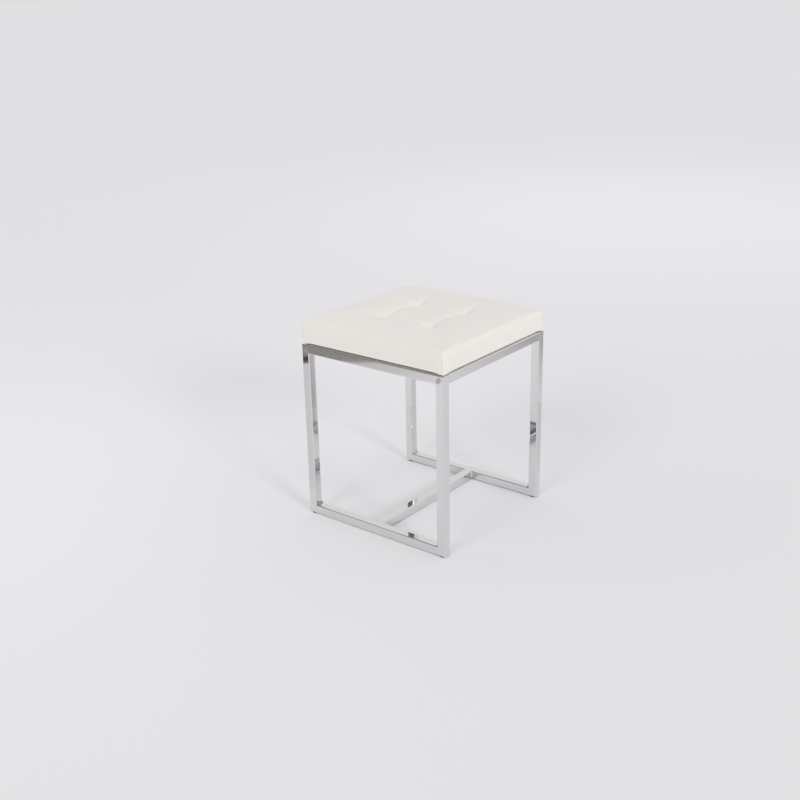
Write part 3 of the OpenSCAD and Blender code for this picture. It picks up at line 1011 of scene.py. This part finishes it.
@dataclass
class ChromeFrame:
    """The welded tube frame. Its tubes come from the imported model, and the welds are added here.

    Sizes are in mm. A ground spot's inset, drop, reach and width are shares of the tube instead, and its
    crown and its sunk rim are shares of its height.
    """

    outer: float = 190.0
    tube: float = 20.0
    edge_radius: float = 2.0
    base: float = 3.0
    top: float = 405.0
    fillet: float = 1.8
    fillet_root: float = 0.3
    sill_fillet: float = 5.0
    spot_rings: tuple[float, ...] = (1.0, 0.85, 0.65, 0.45, 0.2)
    spot_sides: int = 28
    spot_crown: float = 0.9
    spot_sunk: float = 2.0
    spot_height: float = 0.12
    spot_inset: float = 0.62
    spot_drop: float = 0.58
    spot_reach: float = 0.3
    spot_width: float = 0.2
    arc_steps: int = 5

    def fillet_strip(
        self,
        bm: Mesh,
        start: Vector,
        run: Vector,
        one: Vector,
        other: Vector,
        radius: float | None = None,
    ) -> None:
        """Adds a hollow-faced fillet along the corner between two faces.

        Args:
            bm: the mesh that gets it.
            start: one end of the corner's line.
            run: from that end to the other.
            one: unit vector along the first face, away from the corner.
            other: unit vector along the second face, away from the corner.
            radius: how far it reaches over each face, where it isn't a small one.
        """
        radius = radius or self.fillet
        centre = start + (one + other) * radius
        ring = [bm.verts.new(start - (one + other) * self.fillet_root)]
        for step in range(self.arc_steps + 1):
            angle = math.pi / 2 * step / self.arc_steps
            point = centre - other * radius * math.cos(angle) - one * radius * math.sin(angle)
            ring.append(bm.verts.new(point))
        drawn_out(bm, ring, run)

    def groove_filler(self, bm: Mesh, start: Vector, run: Vector, along: Vector, inward: Vector) -> None:
        """Fills the groove between the rounded edges of two tubes that meet flush, as a ground weld does.

        Args:
            bm: the mesh that gets it.
            start: one end of the joint's line, on the shared face.
            run: from that end to the other.
            along: unit vector in the shared face, square to the joint.
            inward: unit vector into the tubes.
        """
        soft = self.edge_radius
        ring = []
        for side, steps in ((-1, range(self.arc_steps + 1)), (1, range(self.arc_steps - 1, -1, -1))):
            for step in steps:
                angle = math.pi / 2 * step / self.arc_steps
                wide = side * soft * (1 - math.sin(angle))
                deep = soft * (1 - math.cos(angle))
                ring.append(bm.verts.new(start + along * wide + inward * deep))
        drawn_out(bm, ring, run)

    def ground_spot(self, bm: Mesh, middle: Vector, along: Vector, across: Vector, out: Vector) -> None:
        """Adds the low oval that grinding leaves of a weld across a corner.

        Args:
            bm: the mesh that gets it.
            middle: its middle, on the tube's face.
            along: half its length.
            across: half its width.
            out: its height at the middle.
        """
        made = bmesh.ops.create_circle(bm, cap_ends=True, segments=self.spot_sides, radius=1.0)
        spot = made["verts"]
        rim = list({edge for vert in spot for edge in vert.link_edges})
        levels = [-self.spot_sunk] * len(spot)
        for radius in self.spot_rings:
            made = bmesh.ops.extrude_edge_only(bm, edges=rim)
            fresh = new_verts(made)
            edges = [item for item in made["geom"] if isinstance(item, bmesh.types.BMEdge)]
            rim = [edge for edge in edges if set(edge.verts) <= set(fresh)]
            for vert in fresh:
                vert.co = vert.co.normalized() * radius
            spot += fresh
            levels += [self.spot_crown - radius * radius] * len(fresh)
        bmesh.ops.contextual_create(bm, geom=rim)
        for vert, level in zip(spot, levels):
            vert.co = middle + along * vert.co.x + across * vert.co.y + out * level

    def plated(
        self,
        bm: Mesh,
        name: str,
        materials: Materials,
        plate: ChromePlate | None = None,
    ) -> bpy.types.Object:
        """Makes a piece of the frame from a mesh of welds.

        Args:
            bm: the welds in mm, freed here.
            name: the piece's name.
            materials: the finished materials.
            plate: how the plating looks there, where it isn't bright.

        Returns:
            The piece, riding on the frame.
        """
        bmesh.ops.recalc_face_normals(bm, faces=bm.faces)
        piece = shown(mesh_from(bm, name, MM), Slot.CHROME, materials)
        if plate:
            piece.data.materials[0] = plate.material()
        return piece

    def ground_welds(self, materials: Materials) -> bpy.types.Object:
        """Makes the ground welds over the upper mitres of the two loops, on their outer faces.

        Args:
            materials: the finished materials.

        Returns:
            One piece with every ground weld.
        """
        bm = bmesh.new()
        middle = self.outer - self.tube * self.spot_inset
        high = self.top - self.tube * self.spot_drop
        reach = self.tube * self.spot_reach
        wide = self.tube * self.spot_width
        for end in (-1, 1):
            for side in (-1, 1):
                place = Vector((side * middle, end * self.outer, high))
                along = Vector((side * reach, 0, reach))
                across = Vector((-side * wide, 0, wide))
                self.ground_spot(bm, place, along, across, Y_WAY * end * self.spot_height)
        plate = ChromePlate("plated_ground_weld", "B6B4B1", 0.32, 9.0, 6.0)
        piece = self.plated(bm, "ground_welds", materials, plate)
        smooth_shade(piece.data)
        return piece

    def groove_fillers(self, bm: Mesh, side: int, end: int) -> None:
        """Fills the grooves at one corner of the frame and at the stretcher's end next to it."""
        inner = self.outer - self.tube
        flat = self.tube - 2 * self.edge_radius
        low = self.top - self.tube
        outside = Vector((side * self.outer, end * inner, low + self.edge_radius))
        self.groove_filler(bm, outside, Z_WAY * flat, Y_WAY, X_WAY * -side)
        beneath = Vector((side * (inner + self.edge_radius), end * inner, low))
        self.groove_filler(bm, beneath, X_WAY * side * flat, Y_WAY, Z_WAY)
        half = flat / 2
        for level, inward in ((self.base + self.tube, Z_WAY * -1), (self.base, Z_WAY)):
            if side > 0:
                joint = Vector((-half, end * inner, level))
                self.groove_filler(bm, joint, X_WAY * flat, Y_WAY, inward)

    def sill_welds(self, materials: Materials) -> bpy.types.Object:
        """Makes the welds inside the lower corners of the two loops, full and with a darker, rougher
        plating.

        Args:
            materials: the finished materials.

        Returns:
            One piece with the four welds.
        """
        bm = bmesh.new()
        inner = self.outer - self.tube
        soft = self.edge_radius
        for side in (-1, 1):
            for end in (-1, 1):
                start = Vector((side * inner, end * (inner + 0.5 * soft), self.base + self.tube))
                run = Y_WAY * end * (self.tube - soft)
                self.fillet_strip(bm, start, run, X_WAY * -side, Z_WAY, self.sill_fillet)
        # A darker, rougher plating than the bright chrome.
        plate = ChromePlate("darker_sill_weld", "A8A19C", 0.3, 2.5, 3.0)
        return self.plated(bm, "sill_welds", materials, plate)

    def welds(self, materials: Materials) -> bpy.types.Object:
        """Makes the weld fillets in the inner corners where the tubes meet.

        Args:
            materials: the finished materials.

        Returns:
            One piece with every fillet.
        """
        bm = bmesh.new()
        inner = self.outer - self.tube
        soft = self.edge_radius
        upright = Z_WAY * (self.tube - 2 * soft)
        half = self.tube / 2
        for side in (-1, 1):
            for end in (-1, 1):
                foot = Vector((side * half, end * inner, self.base + soft))
                self.fillet_strip(bm, foot, upright, X_WAY * side, Y_WAY * -end)
                low = Vector((side * inner, end * inner, self.top - self.tube + soft))
                self.fillet_strip(bm, low, upright, X_WAY * -side, Y_WAY * -end)
                self.groove_fillers(bm, side, end)
                deep = Y_WAY * end * (self.tube - 2 * soft)
                lintel = Vector((side * inner, end * (inner + soft), self.top - self.tube))
                self.fillet_strip(bm, lintel, deep, X_WAY * -side, Z_WAY * -1)
        return self.plated(bm, "weld_fillets", materials)


@dataclass
class DustCover:
    """The dust cover stretched under the seat board and stapled along its edges. Sizes are in mm."""

    half: float = 168.0
    cells: int = 112
    thickness: float = 0.4
    height: float = 404.2
    sag: float = 1.6
    sag_power: int = 4
    scallop: float = 0.5
    scallop_reach: float = 16.0
    staple_pitch: float = 44.0
    hole_place: float = 153.0
    hole_radius: float = 3.6

    def hang_at(self, x: float, y: float) -> float:
        """How far the cloth hangs below the board at a point, in mm."""
        across, along = (1 - (abs(way) / self.half) ** self.sag_power for way in (x, y))
        from_edge = self.half - max(abs(x), abs(y))
        scallop = 0.5 - 0.5 * math.cos(math.tau * min(abs(x), abs(y)) / self.staple_pitch)
        hang = self.scallop * scallop * math.exp(-from_edge / self.scallop_reach)
        return self.sag * across * along + hang

    def build(self, materials: Materials) -> bpy.types.Object:
        """Makes the dust cover.

        Args:
            materials: the finished materials.

        Returns:
            The cloth, riding on the frame.
        """
        bm = bmesh.new()
        bmesh.ops.create_grid(bm, x_segments=self.cells, y_segments=self.cells, size=self.half)
        holes = [
            vert
            for vert in bm.verts
            if abs(abs(vert.co.x) - self.hole_place) < 0.1 and abs(abs(vert.co.y) - self.hole_place) < 0.1
        ]
        for hole in holes:
            middle = hole.co.copy()
            for face in hole.link_faces:
                for vert in face.verts:
                    if vert is not hole:
                        vert.co = middle + (vert.co - middle).normalized() * self.hole_radius
        bmesh.ops.delete(bm, geom=holes, context="VERTS")
        for vert in bm.verts:
            vert.co.z = self.height - self.hang_at(vert.co.x, vert.co.y)
        mesh = mesh_from(bm, "dust_cloth", MM)
        smooth_shade(mesh)
        cloth = shown(mesh, Slot.DUST_CLOTH, materials)
        wall = cloth.modifiers.new("wall", "SOLIDIFY")
        wall.thickness = self.thickness * MM
        wall.offset = 0.0
        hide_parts("dust_cover")
        return cloth


@dataclass(frozen=True)
class StudioPaper(Finish):
    """Pale seamless backdrop paper: matt, with a faint unevenness."""

    def draw(self, tree: Tree, shader: bpy.types.Node, place: Socket) -> None:
        """Draws the finish."""
        shader.inputs["Specular IOR Level"].default_value = 0.0
        blotches = noise_at(tree, place, 900.0, Detail=2.0)
        paint(tree, shader, blotches, "F2F0F3", "F5F3F6")


@dataclass(frozen=True)
class Card:
    """A glowing card, no lamp, that paints part of the chrome's reflection, such as shadowed floor. Sizes
    are in metres.

    A corner with two numbers lies just over the floor. The fade, where a card has a soft edge, names an axis
    and the places along it where the card is clear and where it is full.
    """

    name: str
    shade: str
    corners: tuple[tuple[float, ...], ...]
    height: float = 0.002
    fade: tuple[str, float, float] | None = None

    def material(self) -> bpy.types.Material:
        """Makes the card's even glow."""
        material = bpy.data.materials.new("painted_reflection")
        material.use_nodes = True
        tree = material.node_tree
        tree.nodes.clear()
        settings = {"Color": linear(self.shade), "Strength": 1.0}
        surface = add_node(tree, "ShaderNodeEmission", settings).outputs[0]
        if self.fade:
            axis, clear_from, full_from = self.fade
            place = add_node(tree, "ShaderNodeTexCoord").outputs["Object"]
            along = add_node(tree, "ShaderNodeSeparateXYZ", links={0: place}).outputs[axis]
            settings = {"From Min": clear_from, "From Max": full_from}
            share = add_node(tree, "ShaderNodeMapRange", settings, {"Value": along}).outputs["Result"]
            clear = add_node(tree, "ShaderNodeBsdfTransparent").outputs[0]
            links = {0: share, 1: clear, 2: surface}
            surface = add_node(tree, "ShaderNodeMixShader", links=links).outputs[0]
        add_node(tree, "ShaderNodeOutputMaterial", links={"Surface": surface})
        return material

    def build(self) -> None:
        """Sets the card up, hidden from all but the chrome."""
        bm = bmesh.new()
        corners = [bm.verts.new((*corner, self.height)[:3]) for corner in self.corners]
        bmesh.ops.contextual_create(bm, geom=corners)
        mesh = mesh_from(bm, self.name)
        mesh.materials.append(self.material())
        card = linked(self.name, mesh)
        for ray in ("camera", "diffuse", "shadow", "transmission"):
            setattr(card, f"visible_{ray}", False)


# Painted reflections: glowing cards that only the chrome shows. They paint darker floor further off,
# shadowed floor near and under the stool, a dark spot at the floor's edge and the dark side of the room.
CARDS = (
    Card(
        "dark_ground",
        "A29E9B",
        ((-3.4, 0.93), (-0.918, -0.966), (-0.573, -1.231), (-0.9, -3.4), (-3.4, -3.4)),
    ),
    Card("far_ground", "C6C6C8", ((0.62, 1.11), (0.839, 1.25), (1.2, 1.48), (1.2, 1.9), (0.3, 1.9))),
    Card(
        "side_ground",
        "C2C1C4",
        ((0.5, 0.72), (1.5, 0.72), (1.5, 1.6), (0.5, 1.6)),
        0.001,
        ("Y", 0.74, 1.21),
    ),
    Card(
        "leg_ground",
        "E6E5E8",
        ((0.2, 0.26), (0.4, 0.26), (0.62, 0.6), (0.7, 0.72), (0.3, 0.72)),
        fade=("Y", 0.26, 0.42),
    ),
    Card(
        "back_ground",
        "E6E5E8",
        ((-0.2, 0.24), (-0.06, 0.16), (0.16, 0.48), (0.24, 0.72), (0.1, 0.72)),
    ),
    Card("left_ground", "EEEDF0", ((-0.36, -0.22), (-0.22, -0.32), (-0.7, -1.0), (-0.95, -0.95)), 0.001),
    Card(
        "soft_ground",
        "E3E1DE",
        ((-0.8217, -1.04), (-0.4, -1.04), (-0.4, -1.231), (-0.573, -1.231)),
        fade=("X", -0.42, -0.64),
    ),
    Card(
        "ground_edge",
        "49372B",
        ((-0.966, -0.929), (-0.886, -0.991), (-0.926, -1.043), (-1.006, -0.981)),
        0.004,
    ),
    Card(
        "dark_wall",
        "868688",
        ((-3.4, -0.3, 0.0), (-0.4, -3.6, 0.0), (-0.4, -3.6, 3.0), (-3.4, -0.3, 3.0)),
    ),
)


@dataclass
class Studio:
    """The pale floor, the soft light, the painted reflections in the chrome, and the camera. Sizes are in
    metres.
    """

    floor_radius: float = 120.0
    sky: str = "F4F2F5"
    sky_strength: float = 1.38
    ceiling_share: float = 0.5
    ceiling_heights: tuple[float, float] = (0.6, 0.95)
    dim_facing: tuple[float, float] = (0.2, 0.9)
    dim_sides: tuple[tuple[Place, float], ...] = (
        ((-0.61, -0.79, 0.0), 0.15),
        ((0.6, -0.8, 0.0), 0.3),
        ((-0.62, 0.78, 0.0), 0.84),
    )
    backdrop_strength: float = 1.0
    keys: tuple[tuple[str, Place, float, float], ...] = (
        ("key_right", (1.01, -0.35, 0.43), 1.5, 14.0),
        ("key_left", (0.04, -0.70, 0.43), 1.1, 26.0),
    )
    glow_power: float = 64.0
    glow_radius: float = 0.6
    glow_cone: float = 92.0
    glow_place: Place = (-1.1, 3.4, 3.0)
    lamp_power: float = 14.0
    lamp_radius: float = 0.35
    lamp_place: Place = (-1.0, -0.75, 1.25)
    white_level: float = 1.5
    curve_ends: tuple[tuple[float, float], ...] = ((0.0, 0.0), (1.0, 0.97))
    curve_bends: tuple[tuple[float, float], ...] = ((0.18, 0.27), (0.36, 0.53), (0.667, 0.775))
    lens: float = 50.0
    eye: Place = (1.40598, -1.85907, 1.13477)
    forward: Place = (-0.58233, 0.73275, -0.35208)
    upward: Place = (-0.20236, 0.2888, 0.93576)

    def floor(self) -> None:
        """Makes the floor, wide enough to fill the view."""
        bm = bmesh.new()
        bmesh.ops.create_circle(bm, cap_ends=True, segments=96, radius=self.floor_radius)
        mesh = mesh_from(bm, "floor")
        mesh.materials.append(StudioPaper("backdrop_paper", "F3F1F4", 0.9).material())
        floor = linked("floor", mesh)

    def light(self, name: str, direction: Place, strength: float, angle: float) -> None:
        """Makes a broad soft light from a direction.

        Args:
            name: its name.
            direction: from the seat towards the light.
            strength: its strength on a surface that faces it.
            angle: how wide it looks from the stool, in degrees.
        """
        data = bpy.data.lights.new(name, "SUN")
        data.energy = strength
        data.angle = math.radians(angle)
        linked(name, data).rotation_euler = Vector(direction).to_track_quat("Z", "Y").to_euler()

    def lamp(self, name: str, place: Place, power: float, radius: float, cone: float = 0.0) -> None:
        """Makes a lamp that stands in the room and that the chrome doesn't show.

        Args:
            name: its name.
            place: where it stands.
            power: its power in watts.
            radius: its radius.
            cone: the width of its beam straight down, in degrees, or nothing for a bare lamp.
        """
        data = bpy.data.lights.new(name, "SPOT" if cone else "POINT")
        data.energy = power
        data.shadow_soft_size = radius
        if cone:
            data.spot_size = math.radians(cone)
            data.spot_blend = 1.0
        lamp = linked(name, data)
        lamp.location = place
        lamp.visible_glossy = False

    def world(self) -> None:
        """Makes the even light of the room."""
        world = bpy.data.worlds.new("white_room")
        world.use_nodes = True
        tree = world.node_tree
        background = tree.nodes["Background"]
        background.inputs["Color"].default_value = linear(self.sky)
        direction = add_node(tree, "ShaderNodeTexCoord").outputs["Generated"]
        height = add_node(tree, "ShaderNodeSeparateXYZ", links={0: direction}).outputs["Z"]
        low, high = self.ceiling_heights
        settings = {"From Min": low, "From Max": high, "To Min": self.sky_strength}
        settings["To Max"] = self.sky_strength * self.ceiling_share
        strength = add_node(tree, "ShaderNodeMapRange", settings, {"Value": height}).outputs[0]
        for dim_side, share in self.dim_sides:
            settings = {"operation": "DOT_PRODUCT", 1: dim_side}
            toward = add_node(tree, "ShaderNodeVectorMath", settings, {0: direction}).outputs["Value"]
            low, high = self.dim_facing
            settings = {"From Min": low, "From Max": high, "To Min": 1.0, "To Max": share}
            side = add_node(tree, "ShaderNodeMapRange", settings, {"Value": toward}).outputs[0]
            settings = {"operation": "MULTIPLY"}
            strength = add_node(tree, "ShaderNodeMath", settings, {0: strength, 1: side}).outputs[0]
        seen = add_node(tree, "ShaderNodeLightPath").outputs["Is Camera Ray"]
        settings = {"data_type": "FLOAT", 3: self.backdrop_strength}
        shown_strength = add_node(tree, "ShaderNodeMix", settings, {0: seen, 2: strength}).outputs[0]
        tree.links.new(shown_strength, background.inputs["Strength"])
        bpy.context.scene.world = world

    def exposure(self) -> None:
        """Gives the picture the soft shoulder that a camera gives its highlights."""
        view = bpy.context.scene.view_settings
        view.view_transform = "Standard"
        view.use_curve_mapping = True
        mapping = view.curve_mapping
        mapping.white_level = (self.white_level,) * 3
        curve = mapping.curves[3]
        curve.points[0].location, curve.points[1].location = self.curve_ends
        for point in self.curve_bends:
            curve.points.new(*point)
        mapping.update()

    def camera(self) -> None:
        """Sets the camera where the photograph was taken from."""
        data = bpy.data.cameras.new("photo_camera")
        data.lens = self.lens
        data.sensor_width = 36.0
        camera = linked("photo_camera", data)
        forward = Vector(self.forward).normalized()
        right = forward.cross(Vector(self.upward)).normalized()
        up = right.cross(forward)
        turn = Matrix((right, up, -forward)).transposed()
        camera.matrix_world = Matrix.Translation(self.eye) @ turn.to_4x4()
        bpy.context.scene.camera = camera

    def build(self) -> None:
        """Makes the whole studio."""
        self.camera()
        self.floor()
        self.world()
        for card in CARDS:
            card.build()
        for key in self.keys:
            self.light(*key)
        self.lamp("back_glow", self.glow_place, self.glow_power, self.glow_radius, self.glow_cone)
        self.lamp("left_lamp", self.lamp_place, self.lamp_power, self.lamp_radius)
        self.exposure()


def dress_nodes(materials: Materials) -> None:
    """Gives every CAD node that shows its finish, by the record's material slot."""
    threaded = ThreadedZinc("threaded_zinc_plate", "AAADB2", 0.34).material()
    for part in frame["record"]["subparts"]:
        node = frame["nodes"][part["node"]]
        slot = Slot(part["material_slot"])
        material = threaded if part["node"].startswith("glide_stud") else materials[slot]
        node.data.materials.clear()
        node.data.materials.append(material)


def main() -> None:
    """Builds the looks of the stool in order."""
    logging.basicConfig(level=logging.INFO, format="%(name)s: %(message)s")
    Studio().build()
    materials = {slot: finish.material() for slot, finish in FINISHES.items()}
    dress_nodes(materials)
    tubes = ChromeFrame()
    pieces = [
        SeatPad().build(materials),
        tubes.welds(materials),
        tubes.ground_welds(materials),
        tubes.sill_welds(materials),
        DustCover().build(materials),
    ]
    for piece in pieces:
        LOG.info("%s: %d faces", piece.name, len(piece.data.polygons))


if __name__ == "__main__":
    main()
